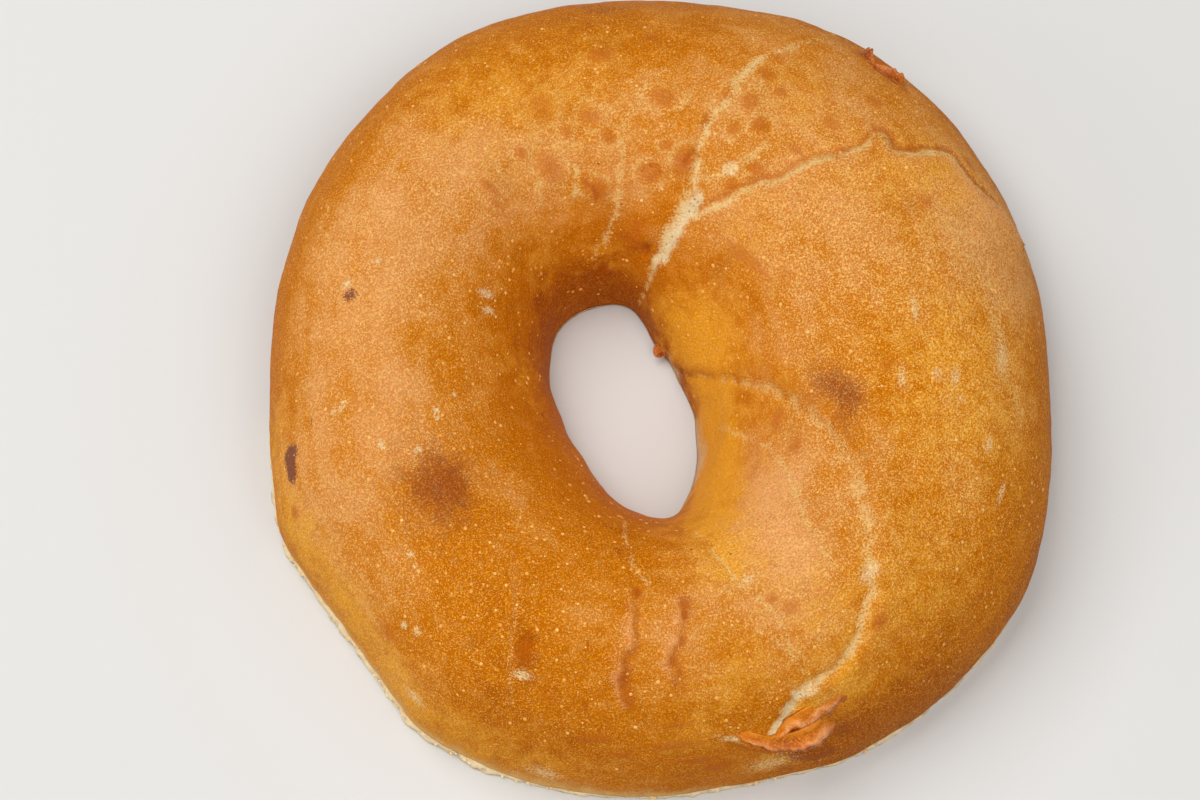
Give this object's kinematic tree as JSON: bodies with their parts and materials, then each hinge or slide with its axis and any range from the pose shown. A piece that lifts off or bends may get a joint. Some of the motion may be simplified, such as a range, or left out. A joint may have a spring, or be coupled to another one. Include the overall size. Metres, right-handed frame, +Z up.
{
  "type": "sourdough bagel half",
  "caption": "Top half of a sliced, hand-rolled bagel: a golden crusted ring with an oval hole and pressed seams, resting on its flat cut face.",
  "frame": {"origin": "centre of the bounding box's base, on the plane of the cut face", "axes": "+Z up from the cut face through the crown; +Y away from the viewer of the picture, +X to the viewer's right"},
  "size_m": [0.1126, 0.1196, 0.029],
  "materials": {
    "baked_crust": "golden baked crust with a soft sheen, pale crumb at the cut"
  },
  "bodies": {
    "root": {"bagel_half": "baked_crust"}
  },
  "joints": []
}
